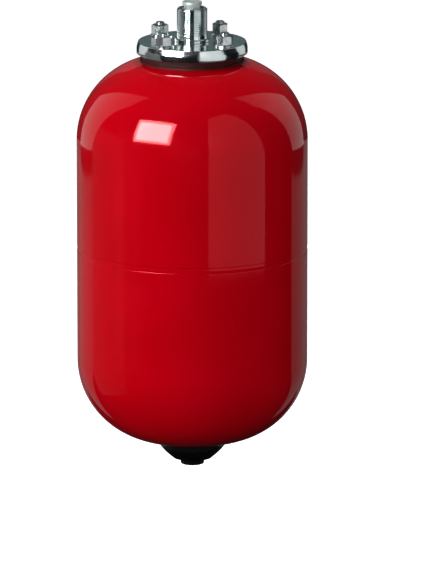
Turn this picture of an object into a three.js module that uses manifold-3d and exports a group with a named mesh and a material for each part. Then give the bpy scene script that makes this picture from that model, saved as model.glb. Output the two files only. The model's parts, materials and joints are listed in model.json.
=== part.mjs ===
// Expansion vessel for a small heating or water system: a red pressed-steel shell with a
// replaceable rubber bladder, closed on top by a zinc-plated counterflange that carries the
// G 3/4 connection, and with its gas charging valve under a black cover at the bottom.
// Millimetres, +Z up. The origin is the centre of the connection nipple's free end face,
// so the vessel hangs below it and every level is negative.

import * as THREE from 'three';
import { mergeVertices } from 'three/addons/utils/BufferGeometryUtils.js';
import Module from 'manifold-3d';

const wasm = await Module();
wasm.setup();

// ---------------------------------------------------------------- driving dimensions

const GAP = 0.3; // clearance between neighbouring solids that touch on the real vessel
const FACE_GAP = 0.1; // the same between faces that are clamped or seated flat
const EDGE = 1; // small chamfer
const DRILL_REACH = 10; // how far a drill runs past what it cuts

// pressed shell
const BODY_R = 100;
const WALL = 1;
const KNUCKLE_R = 71.8;
const CROWN_R = 368;
const CROWN_TOP = -43;
const BODY_BOTTOM = -382.5;
const NECK_OPENING_R = 24;
const BOSS_HOLE_R = 9.3;

// joggled lap joint at mid-height
const SEAM_Z = -210.5;
const SEAM_WIDTH = 4.6;
const LAP = 9;
const SEAM_DEPTH = 0.15; // how far the weld bead stays under the body's surface

// counterflange: a plate with a turned-down rim
const FLANGE_TOP = -29.2;
const FLANGE_R = 48;
const FLANGE_T = 3;
const FLANGE_RIM_BOTTOM = -39.5;
const FLANGE_SHOULDER_R = 47.2; // the rim flares from here to its full radius
const FLANGE_SHOULDER_H = 4.6;

// connection nipple, G 3/4 male
const NIPPLE_R = 13.22;
const NIPPLE_BORE_R = 9.5;
const NIPPLE_COLLAR_R = 15;
const NIPPLE_COLLAR_TOP = -26.3;
const NIPPLE_SPIGOT_R = 12.2;
const NIPPLE_BOTTOM = -33.7;

// push-in transit plug
const PLUG_R = 7.6;
const PLUG_HEAD_R = 8.45;
const PLUG_HEAD_T = 3;
const PLUG_WALL = 1.6;
const PLUG_TOP = 5.6;
const PLUG_BOTTOM = -16;
const PLUG_FIN_R = 9.2;
const PLUG_FIN_LEVELS = [-6, -11];

// M8 studs, washers and nuts on one pitch circle
const STUD_COUNT = 4;
const STUD_PCD_R = 36.8;
const STUD_FIRST_ANGLE = 49.3;
const STUD_R = 4;
const STUD_HOLE_R = 4.5;
const STUD_TOP = -17;
const WASHER_R = 8;
const WASHER_T = 1.6;
const NUT_FLATS = 13;
const NUT_H = 8;
const NUT_TURNS = [0, 30, -8, -8]; // degrees each nut is left turned by when it is tight

// neck ring and bladder
const RING_R = 43.5;
const RING_TOP = -35.5;
const NECK_FILLET = 1.5; // leg of the weld round the ring
const LIP_T = 2.9;
const LIP_R = 43;
const BLADDER_WALL = 2.4;
const BLADDER_NECK_R = 22.6;
const BLADDER_NECK_BOTTOM = -52;
const BLADDER_R = 70;
const BLADDER_SHOULDER_Z = -118;
const BLADDER_FOOT_Z = -258;
const BLADDER_BOTTOM = -322;

// gas valve, from the welded boss down
const BOSS_TOP = -378.5;
const BOSS_BOTTOM = -385.5;
const BOSS_R = 9;
const BOSS_BORE_R = 5.3;
const BOSS_FILLET = 2.6; // leg of the weld round the boss
const SEAL_R = 7.6;
const SEAL_T = 1.4;
const VALVE_SHANK_R = 5;
const VALVE_HEX_FLATS = 14;
const VALVE_HEX_T = 4;
const VALVE_STEM_R = 3.85;
const VALVE_BORE_R = 2.6;
const VALVE_BOTTOM = -398.5;
const CORE_R = 2.3;
const CORE_TOP = -385;
const CORE_BOTTOM = -395;
const CORE_CHAMBER_R = 1.8;
const CORE_HOLE_R = 0.95;
const CORE_END_T = 1;
const PIN_R = 0.6;
const PIN_COLLAR_R = 1.5;
const PIN_COLLAR_TOP = -391.6;
const PIN_CUP_R = 2.1;
const PIN_TOP = -383.2;
const PIN_BOTTOM = -397.8;
const SPRING_R = 1.35;
const SPRING_WIRE_R = 0.18;
const SPRING_TURNS = 6;
const CAP_R = 5.5;
const CAP_TOP = -391.9;
const CAP_BOTTOM = -400.2;
const CAP_BORE_R = 4.1;
const CAP_END_T = 1.2;

// black valve cover
const COVER_R = 27.9;
const COVER_WALL = 1.7;
const COVER_RIM_Z = -387.6;
const COVER_FLOOR_R = 16.5;
const COVER_FLOOR_Z = -398.6;
const COVER_STUB_R = 10.3;
const COVER_BOTTOM = -404.3;
const COVER_SLEEVE_TOP = -387;
const COVER_SLEEVE_R = 8.4; // inside radius of the sleeve that grips the valve's hexagon
const COVER_SLEEVE_WALL = 1.4;

// sides of the faceted rounds
const BODY_SIDES = 40;
const FLANGE_SIDES = 40;
const BLADDER_SIDES = 24;
const SMALL_SIDES = 24;
const TINY_SIDES = 12;
const CROWN_STEPS = 2;
const KNUCKLE_STEPS = 6;
const BAG_STEPS = 4;
const WIRE_STEPS = 3; // per half turn of the spring wire's section
const SPRING_STEPS_PER_TURN = 10;

// ---------------------------------------------------------------- materials

const surface = (color, roughness, metalness) =>
  new THREE.MeshStandardMaterial({ color, roughness, metalness });

const redPaint = surface(0xb3060f, 0.15, 0);
const zinc = surface(0xb9bfc0, 0.22, 1);
const blackPlastic = surface(0x0b0b0c, 0.45, 0);
const greyPlastic = surface(0xa3a8a6, 0.5, 0);
const rubber = surface(0x1b1b1c, 0.85, 0);
const brass = surface(0xc2a15a, 0.3, 1);
const springSteel = surface(0x8f9396, 0.35, 1);

// ---------------------------------------------------------------- helpers

const object = new THREE.Group();

/** Adds one named piece to a group. */
function addPiece(parent, name, geometry, material) {
  const mesh = new THREE.Mesh(geometry, material);
  mesh.name = name;
  parent.add(mesh);
  return mesh;
}

/** Points of an arc in the (radius, level) plane, angles in degrees from the radius axis. */
function arc(centreR, centreZ, radius, from, to, steps) {
  const points = [];
  for (let i = 0; i <= steps; i += 1) {
    const angle = THREE.MathUtils.degToRad(from + ((to - from) * i) / steps);
    points.push([centreR + radius * Math.cos(angle), centreZ + radius * Math.sin(angle)]);
  }
  return points;
}

/**
 * Solid of revolution about Z from a profile of [radius, level] points, which either starts
 * and ends on the axis or goes round in a ring. The profile may run either way round.
 */
function turned(profile, sides) {
  const onAxis = profile[0][0] === 0 && profile[profile.length - 1][0] === 0;
  const ring = onAxis ? profile : [...profile, profile[0]];
  const points = ring.map(([r, z]) => new THREE.Vector2(r, z));
  const clockwise = THREE.ShapeUtils.area(points) < 0;
  const upward = clockwise ? points.reverse() : points;
  return new THREE.LatheGeometry(upward, sides).rotateX(Math.PI / 2);
}

/** Straight tube or washer between two levels. */
function tube(innerR, outerR, bottom, top, sides) {
  return turned([[innerR, bottom], [outerR, bottom], [outerR, top], [innerR, top]], sides);
}

/** Solid round bar between two levels. */
function bar(radius, bottom, top, sides) {
  return turned([[0, bottom], [radius, bottom], [radius, top], [0, top]], sides);
}

/** Hexagonal prism with a round hole, its first flat facing +X. */
function hexagon(flats, holeR, bottom, height) {
  const cornerR = flats / Math.sqrt(3);
  const outline = new THREE.Shape();
  for (let i = 0; i < 6; i += 1) {
    const angle = THREE.MathUtils.degToRad(30 + 60 * i);
    const corner = [cornerR * Math.cos(angle), cornerR * Math.sin(angle)];
    if (i === 0) outline.moveTo(...corner);
    else outline.lineTo(...corner);
  }
  outline.closePath();
  outline.holes.push(new THREE.Path().absarc(0, 0, holeR, 0, Math.PI * 2, true));
  const prism = new THREE.ExtrudeGeometry(outline, {
    depth: height,
    bevelEnabled: false,
    curveSegments: TINY_SIDES,
  });
  return prism.translate(0, 0, bottom);
}

/** Closed geometry as a solid that can be cut and joined. */
function toSolid(geometry) {
  const bare = geometry.clone();
  bare.deleteAttribute('normal');
  bare.deleteAttribute('uv');
  const merged = mergeVertices(bare);
  return new wasm.Manifold(
    new wasm.Mesh({
      numProp: 3,
      vertProperties: Float32Array.from(merged.attributes.position.array),
      triVerts: Uint32Array.from(merged.index.array),
    }),
  );
}

/** Cut or joined solid back as a geometry. */
function toGeometry(solid) {
  const mesh = solid.getMesh();
  const geometry = new THREE.BufferGeometry();
  geometry.setAttribute('position', new THREE.BufferAttribute(mesh.vertProperties, 3));
  geometry.setIndex(new THREE.BufferAttribute(mesh.triVerts, 1));
  geometry.computeVertexNormals();
  return geometry;
}

/** Angle of each stud round the axis, in degrees. */
const studAngles = Array.from(
  { length: STUD_COUNT },
  (_, i) => STUD_FIRST_ANGLE + (360 / STUD_COUNT) * i,
);

/** Centre of a stud on the pitch circle. */
function studPlace(angle) {
  const turn = THREE.MathUtils.degToRad(angle);
  return new THREE.Vector3(STUD_PCD_R * Math.cos(turn), STUD_PCD_R * Math.sin(turn), 0);
}

/** The geometry with the four stud holes drilled through it. */
function drilledForStuds(geometry) {
  let solid = toSolid(geometry);
  for (const angle of studAngles) {
    const place = studPlace(angle);
    const drill = bar(STUD_HOLE_R, CROWN_TOP - DRILL_REACH, FLANGE_TOP + DRILL_REACH, TINY_SIDES);
    solid = solid.subtract(toSolid(drill.translate(place.x, place.y, 0)));
  }
  return toGeometry(solid);
}

// ---------------------------------------------------------------- pressed shell

// A dished end is a crown arc that runs tangent into a knuckle arc and then the cylinder.
const KNUCKLE_CENTRE_R = BODY_R - KNUCKLE_R;
const KNUCKLE_RISE = Math.sqrt((CROWN_R - KNUCKLE_R) ** 2 - KNUCKLE_CENTRE_R ** 2);
const DISH_DEPTH = CROWN_R - KNUCKLE_RISE;
const JOIN_ANGLE = THREE.MathUtils.radToDeg(Math.atan2(KNUCKLE_CENTRE_R, KNUCKLE_RISE));

/**
 * Half outline of a dished end from its hole to the cylinder, set in by `inset` from the
 * outside. `apex` is the level of the crown and `way` is 1 for a top end, -1 for a bottom.
 */
function dishedEnd(holeR, apex, way, inset) {
  const crownR = CROWN_R - inset;
  const knuckleR = KNUCKLE_R - inset;
  const fromHole = 90 - THREE.MathUtils.radToDeg(Math.asin(holeR / crownR));
  const crown = arc(0, -CROWN_R, crownR, fromHole, 90 - JOIN_ANGLE, CROWN_STEPS);
  const knuckle = arc(KNUCKLE_CENTRE_R, -DISH_DEPTH, knuckleR, 90 - JOIN_ANGLE, 0, KNUCKLE_STEPS);
  return [...crown, ...knuckle.slice(1)].map(([r, z]) => [r, apex + way * z]);
}

/** Level of the shell's outside under a given radius, on the top end. */
function crownLevel(radius) {
  const joinR = CROWN_R * Math.sin(THREE.MathUtils.degToRad(JOIN_ANGLE));
  if (radius < joinR) {
    return CROWN_TOP - CROWN_R + Math.sqrt(CROWN_R ** 2 - radius ** 2);
  }
  const reach = radius - KNUCKLE_CENTRE_R;
  return CROWN_TOP - DISH_DEPTH + Math.sqrt(KNUCKLE_R ** 2 - reach ** 2);
}

/** Level of the shell's outside over a given radius, on the bottom end. */
function footLevel(radius) {
  return BODY_BOTTOM + CROWN_TOP - crownLevel(radius);
}

const upperEdge = SEAM_Z + SEAM_WIDTH / 2;
const lowerEdge = SEAM_Z - SEAM_WIDTH / 2;
const lapR = BODY_R - WALL - GAP;

const upperShell = turned(
  [
    ...dishedEnd(NECK_OPENING_R, CROWN_TOP, 1, 0),
    [BODY_R, upperEdge],
    [BODY_R - WALL, upperEdge],
    ...dishedEnd(NECK_OPENING_R, CROWN_TOP, 1, WALL).reverse(),
  ],
  BODY_SIDES,
);
addPiece(object, 'upper_shell', upperShell, redPaint);

const lowerShell = turned(
  [
    ...dishedEnd(BOSS_HOLE_R, BODY_BOTTOM, -1, 0),
    [BODY_R, lowerEdge - WALL],
    [lapR, lowerEdge],
    [lapR, lowerEdge + LAP + SEAM_WIDTH],
    [lapR - WALL, lowerEdge + LAP + SEAM_WIDTH],
    [lapR - WALL, lowerEdge - WALL],
    [BODY_R - WALL, lowerEdge - 2 * WALL],
    ...dishedEnd(BOSS_HOLE_R, BODY_BOTTOM, -1, WALL).reverse(),
  ],
  BODY_SIDES,
);
addPiece(object, 'lower_shell', lowerShell, redPaint);

// painted weld bead that fills the step of the lap joint
const girthWeld = turned(
  [
    [lapR + GAP, lowerEdge + GAP],
    [BODY_R - GAP, lowerEdge - WALL / 2 + GAP],
    [BODY_R - SEAM_DEPTH, SEAM_Z],
    [BODY_R - GAP, upperEdge - GAP],
    [lapR + GAP, upperEdge - GAP],
  ],
  BODY_SIDES,
);
addPiece(object, 'girth_weld', girthWeld, redPaint);

// ---------------------------------------------------------------- neck ring and studs

// The ring is turned to the crown's curve underneath and welded to it round the outside.
const ringSeat = [NECK_OPENING_R, (NECK_OPENING_R + RING_R) / 2, RING_R].map((r) => [
  r,
  crownLevel(r) + GAP,
]);
const neckRing = drilledForStuds(
  turned([...ringSeat, [RING_R, RING_TOP], [NECK_OPENING_R, RING_TOP]], FLANGE_SIDES),
);
addPiece(object, 'neck_ring', neckRing, redPaint);

const filletR = RING_R + GAP;
const neckWeld = turned(
  [
    [filletR, crownLevel(filletR) + GAP],
    [filletR + NECK_FILLET, crownLevel(filletR + NECK_FILLET) + GAP],
    [filletR, crownLevel(filletR) + GAP + NECK_FILLET],
  ],
  FLANGE_SIDES,
);
addPiece(object, 'neck_weld', neckWeld, redPaint);

const washerBottom = FLANGE_TOP + FACE_GAP;
const nutBottom = washerBottom + WASHER_T + FACE_GAP;
studAngles.forEach((angle, i) => {
  const place = new THREE.Group();
  place.position.copy(studPlace(angle));
  object.add(place);

  const studBottom = crownLevel(STUD_PCD_R + STUD_R) + GAP + EDGE;
  const stud = turned(
    [
      [0, studBottom],
      [STUD_R, studBottom],
      [STUD_R, STUD_TOP - EDGE],
      [STUD_R - EDGE, STUD_TOP],
      [0, STUD_TOP],
    ],
    TINY_SIDES,
  );
  addPiece(place, `stud_${i + 1}`, stud, zinc);

  const washer = tube(STUD_R + GAP, WASHER_R, washerBottom, washerBottom + WASHER_T, SMALL_SIDES);
  addPiece(place, `washer_${i + 1}`, washer, zinc);

  const nut = addPiece(
    place,
    `nut_${i + 1}`,
    hexagon(NUT_FLATS, STUD_R + GAP, nutBottom, NUT_H),
    zinc,
  );
  nut.rotation.z = THREE.MathUtils.degToRad(NUT_TURNS[i]);
});

// ---------------------------------------------------------------- counterflange

const plateUnder = FLANGE_TOP - FLANGE_T;
const counterflange = drilledForStuds(
  turned(
    [
      [NIPPLE_SPIGOT_R + GAP, FLANGE_TOP],
      [FLANGE_SHOULDER_R - EDGE / 2, FLANGE_TOP],
      [FLANGE_SHOULDER_R, FLANGE_TOP - EDGE / 2],
      [FLANGE_R, FLANGE_TOP - FLANGE_SHOULDER_H],
      [FLANGE_R, FLANGE_RIM_BOTTOM],
      [FLANGE_R - FLANGE_T, FLANGE_RIM_BOTTOM],
      [FLANGE_R - FLANGE_T, plateUnder],
      [NIPPLE_SPIGOT_R + GAP, plateUnder],
    ],
    FLANGE_SIDES,
  ),
);
addPiece(object, 'counterflange', counterflange, zinc);

// ---------------------------------------------------------------- connection nipple

const nipple = turned(
  [
    [NIPPLE_BORE_R, NIPPLE_BOTTOM],
    [NIPPLE_SPIGOT_R, NIPPLE_BOTTOM],
    [NIPPLE_SPIGOT_R, FLANGE_TOP + FACE_GAP],
    [NIPPLE_COLLAR_R, FLANGE_TOP + FACE_GAP],
    [NIPPLE_COLLAR_R, NIPPLE_COLLAR_TOP - EDGE],
    [NIPPLE_R, NIPPLE_COLLAR_TOP],
    [NIPPLE_R, -EDGE],
    [NIPPLE_R - EDGE, 0],
    [NIPPLE_BORE_R, 0],
  ],
  SMALL_SIDES,
);
addPiece(object, 'connection_nipple', nipple, zinc);

/** Half outline of one sealing fin round the plug. */
function finOutline(level) {
  return [[PLUG_R, level - EDGE], [PLUG_FIN_R, level], [PLUG_R, level + EDGE]];
}

const plugHollowR = PLUG_R - PLUG_WALL;
const borePlug = turned(
  [
    [0, PLUG_TOP],
    [PLUG_HEAD_R - EDGE / 2, PLUG_TOP],
    [PLUG_HEAD_R, PLUG_TOP - EDGE / 2],
    [PLUG_HEAD_R, PLUG_TOP - PLUG_HEAD_T],
    [PLUG_R, PLUG_TOP - PLUG_HEAD_T],
    ...PLUG_FIN_LEVELS.flatMap((level) => finOutline(level).reverse()),
    [PLUG_R, PLUG_BOTTOM],
    [plugHollowR, PLUG_BOTTOM],
    [plugHollowR, PLUG_TOP - PLUG_WALL],
    [0, PLUG_TOP - PLUG_WALL],
  ],
  SMALL_SIDES,
);
addPiece(object, 'bore_plug', borePlug, greyPlastic);

// ---------------------------------------------------------------- bladder

/**
 * Half outline of the bag from its mouth to its closed end, set in by `inset` from the
 * outside: a straight neck, a quarter ellipse out to the shoulder, a slightly tapered side
 * and a quarter ellipse to the bottom.
 */
function bagOutline(inset, mouthZ) {
  const neckR = BLADDER_NECK_R - inset;
  const bagR = BLADDER_R - inset;
  const bottomZ = BLADDER_BOTTOM + inset;
  const neckEnd = BLADDER_NECK_BOTTOM - inset;
  const points = [[neckR, mouthZ]];
  for (let i = 0; i <= BAG_STEPS; i += 1) {
    const t = (Math.PI / 2) * (i / BAG_STEPS);
    const r = neckR + (bagR - neckR) * Math.sin(t);
    points.push([r, BLADDER_SHOULDER_Z + (neckEnd - BLADDER_SHOULDER_Z) * Math.cos(t)]);
  }
  for (let i = 0; i <= BAG_STEPS; i += 1) {
    const t = (Math.PI / 2) * (i / BAG_STEPS);
    const r = i === BAG_STEPS ? 0 : bagR * Math.cos(t);
    points.push([r, BLADDER_FOOT_Z + (bottomZ - BLADDER_FOOT_Z) * Math.sin(t)]);
  }
  return points;
}

const lipBottom = RING_TOP + FACE_GAP;
const lipTop = lipBottom + LIP_T;
const bladder = drilledForStuds(
  turned(
    [
      ...bagOutline(BLADDER_WALL, lipTop).reverse(),
      [LIP_R, lipTop],
      [LIP_R, lipBottom],
      ...bagOutline(0, lipBottom),
    ],
    BLADDER_SIDES,
  ),
);
addPiece(object, 'bladder', bladder, rubber);

// ---------------------------------------------------------------- gas valve

const boss = tube(BOSS_BORE_R, BOSS_R, BOSS_BOTTOM, BOSS_TOP, SMALL_SIDES);
addPiece(object, 'valve_boss', boss, redPaint);

const bossWeld = turned(
  [
    [BOSS_R + GAP, BODY_BOTTOM - GAP],
    [BOSS_R + GAP + BOSS_FILLET, BODY_BOTTOM - GAP],
    [BOSS_R + GAP, BODY_BOTTOM - GAP - BOSS_FILLET],
  ],
  SMALL_SIDES,
);
addPiece(object, 'boss_weld', bossWeld, redPaint);

const sealTop = BOSS_BOTTOM - FACE_GAP;
const sealBottom = sealTop - SEAL_T;
addPiece(
  object,
  'valve_seal',
  tube(VALVE_SHANK_R + GAP, SEAL_R, sealBottom, sealTop, SMALL_SIDES),
  rubber,
);

const hexTop = sealBottom - FACE_GAP;
const hexBottom = hexTop - VALVE_HEX_T;
const valveTube = turned(
  [
    [VALVE_BORE_R, VALVE_BOTTOM],
    [VALVE_STEM_R - EDGE / 2, VALVE_BOTTOM],
    [VALVE_STEM_R, VALVE_BOTTOM + EDGE / 2],
    [VALVE_STEM_R, hexBottom],
    [VALVE_SHANK_R, hexBottom],
    [VALVE_SHANK_R, BOSS_TOP],
    [VALVE_BORE_R, BOSS_TOP],
  ],
  SMALL_SIDES,
);
const valveHex = hexagon(VALVE_HEX_FLATS, VALVE_STEM_R - EDGE / 2, hexBottom, VALVE_HEX_T);
const valveBody = toGeometry(toSolid(valveTube).add(toSolid(valveHex)));
addPiece(object, 'valve_body', valveBody, brass);

// the core's barrel: a pierced end wall on the gas side, a spring chamber below it
const coreWallBottom = CORE_TOP - CORE_END_T;
const valveCore = turned(
  [
    [CORE_HOLE_R, CORE_TOP],
    [CORE_R, CORE_TOP],
    [CORE_R, CORE_BOTTOM],
    [CORE_CHAMBER_R, CORE_BOTTOM],
    [CORE_CHAMBER_R, coreWallBottom],
    [CORE_HOLE_R, coreWallBottom],
  ],
  TINY_SIDES,
);
addPiece(object, 'valve_core', valveCore, brass);

// pin with its sealing cup on top and the collar that the spring pushes on
const pinCupBottom = CORE_TOP + GAP;
const pinCollarBottom = PIN_COLLAR_TOP - CORE_END_T;
const valvePin = turned(
  [
    [0, PIN_TOP],
    [PIN_CUP_R, PIN_TOP],
    [PIN_CUP_R, pinCupBottom],
    [PIN_R, pinCupBottom],
    [PIN_R, PIN_COLLAR_TOP],
    [PIN_COLLAR_R, PIN_COLLAR_TOP],
    [PIN_COLLAR_R, pinCollarBottom],
    [PIN_R, pinCollarBottom],
    [PIN_R, PIN_BOTTOM],
    [0, PIN_BOTTOM],
  ],
  TINY_SIDES,
);
addPiece(object, 'valve_pin', valvePin, springSteel);

/** Centre line of the core's spring. */
class SpringLine extends THREE.Curve {
  getPoint(t, target = new THREE.Vector3()) {
    const angle = 2 * Math.PI * SPRING_TURNS * t;
    const bottom = PIN_COLLAR_TOP + GAP + SPRING_WIRE_R;
    const top = coreWallBottom - GAP - SPRING_WIRE_R;
    return target.set(
      SPRING_R * Math.cos(angle),
      SPRING_R * Math.sin(angle),
      THREE.MathUtils.lerp(bottom, top, t),
    );
  }
}
const wire = new THREE.Shape().absarc(0, 0, SPRING_WIRE_R, 0, 2 * Math.PI, false);
const valveSpring = new THREE.ExtrudeGeometry(wire, {
  steps: SPRING_TURNS * SPRING_STEPS_PER_TURN,
  curveSegments: WIRE_STEPS,
  extrudePath: new SpringLine(),
});
addPiece(object, 'valve_spring', valveSpring, springSteel);

const dustCap = turned(
  [
    [0, CAP_BOTTOM],
    [CAP_R - EDGE, CAP_BOTTOM],
    [CAP_R, CAP_BOTTOM + EDGE],
    [CAP_R, CAP_TOP],
    [CAP_BORE_R, CAP_TOP],
    [CAP_BORE_R, CAP_BOTTOM + CAP_END_T],
    [0, CAP_BOTTOM + CAP_END_T],
  ],
  SMALL_SIDES,
);
addPiece(object, 'dust_cap', dustCap, blackPlastic);

// ---------------------------------------------------------------- valve cover

// A flared cup that closes against the shell's crown, with a blunt nose over the dust cap
// and an inner sleeve that pushes onto the valve's hexagon.
const coverRimTop = footLevel(COVER_R) - 2 * GAP;
const sleeveOuterR = COVER_SLEEVE_R + COVER_SLEEVE_WALL;
const noseHollowR = COVER_STUB_R - COVER_WALL;
const valveCover = turned(
  [
    [0, COVER_BOTTOM],
    [COVER_STUB_R - EDGE, COVER_BOTTOM],
    [COVER_STUB_R, COVER_BOTTOM + EDGE],
    [COVER_STUB_R, COVER_FLOOR_Z],
    [COVER_FLOOR_R, COVER_FLOOR_Z],
    [(COVER_R + COVER_FLOOR_R) / 2 + EDGE, (COVER_RIM_Z + COVER_FLOOR_Z) / 2],
    [COVER_R, COVER_RIM_Z],
    [COVER_R, coverRimTop],
    [COVER_R - COVER_WALL, coverRimTop],
    [COVER_R - COVER_WALL, COVER_RIM_Z],
    [COVER_FLOOR_R - COVER_WALL / 2, COVER_FLOOR_Z + COVER_WALL],
    [sleeveOuterR, COVER_FLOOR_Z + COVER_WALL],
    [sleeveOuterR, COVER_SLEEVE_TOP],
    [COVER_SLEEVE_R, COVER_SLEEVE_TOP],
    [COVER_SLEEVE_R, COVER_FLOOR_Z + COVER_WALL],
    [noseHollowR, COVER_FLOOR_Z],
    [noseHollowR, COVER_BOTTOM + COVER_WALL],
    [0, COVER_BOTTOM + COVER_WALL],
  ],
  SMALL_SIDES,
);
addPiece(object, 'valve_cover', valveCover, blackPlastic);

export default object;
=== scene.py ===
"""Looks of a small red expansion vessel with a zinc counterflange and a covered gas valve.

Every piece is a fine mesh that stands for one CAD node. Profiles are lists of (radius, level)
points in millimetres, spun round the vessel's axis or a stud's; levels come from the CAD boxes.
"""

import json
import math

import bmesh
import bpy
from mathutils import Matrix, Vector, noise


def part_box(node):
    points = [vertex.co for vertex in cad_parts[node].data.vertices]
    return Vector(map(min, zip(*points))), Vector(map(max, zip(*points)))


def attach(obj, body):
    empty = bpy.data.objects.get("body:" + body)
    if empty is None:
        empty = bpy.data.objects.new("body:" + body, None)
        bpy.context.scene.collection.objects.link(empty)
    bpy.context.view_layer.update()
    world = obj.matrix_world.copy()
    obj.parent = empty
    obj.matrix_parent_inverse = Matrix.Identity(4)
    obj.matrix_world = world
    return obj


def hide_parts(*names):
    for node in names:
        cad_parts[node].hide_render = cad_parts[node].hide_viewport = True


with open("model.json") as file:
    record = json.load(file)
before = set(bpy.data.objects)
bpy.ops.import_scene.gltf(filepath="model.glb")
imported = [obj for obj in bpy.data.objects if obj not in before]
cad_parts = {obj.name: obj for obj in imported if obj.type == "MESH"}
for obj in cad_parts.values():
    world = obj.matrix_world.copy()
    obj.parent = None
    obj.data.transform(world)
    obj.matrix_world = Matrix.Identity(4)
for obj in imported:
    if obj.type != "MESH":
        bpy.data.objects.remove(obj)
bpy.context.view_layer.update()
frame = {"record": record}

MM = 0.001
TAU = 2 * math.pi
GAP = 0.3  # clearance between neighbouring pieces, as in the CAD
SHARP_ANGLE = math.radians(28)
NUT_SHARP_ANGLE = math.radians(18)
BODY_OF = {node: body for body, nodes in frame["record"]["behaviour"]["bodies"].items()
           for node in nodes}


def low(node):
    """Lowest corner of a CAD node, in millimetres."""
    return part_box(node)[0] / MM


def high(node):
    """Highest corner of a CAD node, in millimetres."""
    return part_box(node)[1] / MM


# ------------------------------------------------------------------ mesh helpers


def arc(centre_r, centre_z, radius, start, end, steps):
    """Points of an arc in the (radius, level) plane, angles in degrees from the radius axis."""
    points = []
    for i in range(steps + 1):
        angle = math.radians(start + (end - start) * i / steps)
        points.append((centre_r + radius * math.cos(angle), centre_z + radius * math.sin(angle)))
    return points


def smooth(t):
    """Eases 0..1 in and out, and holds outside."""
    t = min(max(t, 0.0), 1.0)
    return t * t * (3 - 2 * t)


def new_object(name, mesh):
    """Links a mesh into the scene as an object."""
    piece = bpy.data.objects.new(name, mesh)
    bpy.context.scene.collection.objects.link(piece)
    return piece


def spun_mesh(name, outline, segments, centre=(0.0, 0.0)):
    """Mesh spun round a vertical line at `centre` (mm). `outline` is a list of (r, z) points,
    or a function of the angle that gives one. It is closed into a ring unless both its ends
    are on the axis."""
    outlines = [outline(TAU * i / segments) if callable(outline) else outline
                for i in range(segments)]
    count = len(outlines[0])
    on_axis = [all(o[k][0] == 0 for o in outlines) for k in range(count)]
    mesh = bmesh.new()
    rings = []
    for k in range(count):
        if on_axis[k]:
            vert = mesh.verts.new((centre[0] * MM, centre[1] * MM, outlines[0][k][1] * MM))
            rings.append([vert] * segments)
            continue
        ring = []
        for i, points in enumerate(outlines):
            r, z = points[k]
            turn = TAU * i / segments
            place = Vector((centre[0] + r * math.cos(turn), centre[1] + r * math.sin(turn), z))
            ring.append(mesh.verts.new(place * MM))
        rings.append(ring)
    ends = count - 1 if on_axis[0] and on_axis[-1] else count
    for k in range(ends):
        below, above = rings[k], rings[(k + 1) % count]
        for i in range(segments):
            j = (i + 1) % segments
            corners = [below[i], below[j], above[j], above[i]]
            corners = list(dict.fromkeys(corners))
            if len(corners) > 2:
                mesh.faces.new(corners)
    bmesh.ops.recalc_face_normals(mesh, faces=mesh.faces)
    made = bpy.data.meshes.new(name)
    mesh.to_mesh(made)
    mesh.free()
    return made


def shade(piece, angle=SHARP_ANGLE):
    """Smooth shading, with edges sharper than `angle` kept crisp."""
    for face in piece.data.polygons:
        face.use_smooth = True
    piece.data.set_sharp_from_angle(angle=angle)


def stand_for(piece, node, material):
    """Gives the piece its material and lets it stand for a CAD node on that node's body."""
    piece.data.materials.clear()
    piece.data.materials.append(material)
    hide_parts(node)
    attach(piece, BODY_OF[node])
    return piece


def spun(node, outline, material, segments=96, centre=(0.0, 0.0)):
    """One spun piece that stands for a CAD node."""
    piece = new_object(node + "_fine", spun_mesh(node + "_fine", outline, segments, centre))
    shade(piece)
    return stand_for(piece, node, material)


def cut_holes(mesh, holes, radius, bottom, top):
    """The mesh with round holes (mm) drilled through it at the given centres."""
    body = new_object("cut_body", mesh)
    drills = []
    for centre in holes:
        outline = [(0, bottom), (radius, bottom), (radius, top), (0, top)]
        drill = new_object("drill", spun_mesh("drill", outline, HOLE_SEGMENTS, centre))
        cut = body.modifiers.new("cut", "BOOLEAN")
        cut.operation = "DIFFERENCE"
        cut.solver = "EXACT"
        cut.object = drill
        drills.append(drill)
    graph = bpy.context.evaluated_depsgraph_get()
    made = bpy.data.meshes.new_from_object(body.evaluated_get(graph))
    for spare in [body, *drills]:
        bpy.data.objects.remove(spare)
    made.name = mesh.name + "_cut"
    return made


def drilled(node, outline, material, segments):
    """Spun piece with the four stud holes cut through it."""
    mesh = spun_mesh(node + "_fine", outline, segments)
    mesh = cut_holes(mesh, STUD_PLACES, STUD_HOLE_R, low(node).z - 5, high(node).z + 5)
    piece = new_object(node + "_fine", mesh)
    shade(piece)
    return stand_for(piece, node, material)


def thread_radius(z, turn, outer, depth, pitch):
    """Outside radius of a right-hand thread with rounded crests and roots at a level and angle."""
    phase = (z / pitch - turn / TAU) % 1.0
    ridge = 0.5 - 0.5 * math.cos(TAU * phase)
    flank = smooth(2.2 * ridge - 0.1)
    return outer - depth * (1 - flank)


def threaded(outer, depth, pitch, bottom, top, runout=1.0, chamfer=1.0, rows=10):
    """Function of the angle that gives a threaded stretch's points from bottom to top: the
    thread fades out over `runout` turns below and is chamfered at its upper end."""
    count = max(2, round((top - bottom) / pitch * rows))

    def points(turn):
        made = []
        for k in range(count + 1):
            z = bottom + (top - bottom) * k / count
            fade = smooth((z - bottom) / (pitch * runout)) if runout else 1.0
            r = thread_radius(z, turn, outer, depth * fade, pitch)
            r = min(r, outer - chamfer + (top - z)) if chamfer else r
            made.append((r, z))
        return made

    return points


# ------------------------------------------------------------------ material helpers


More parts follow.
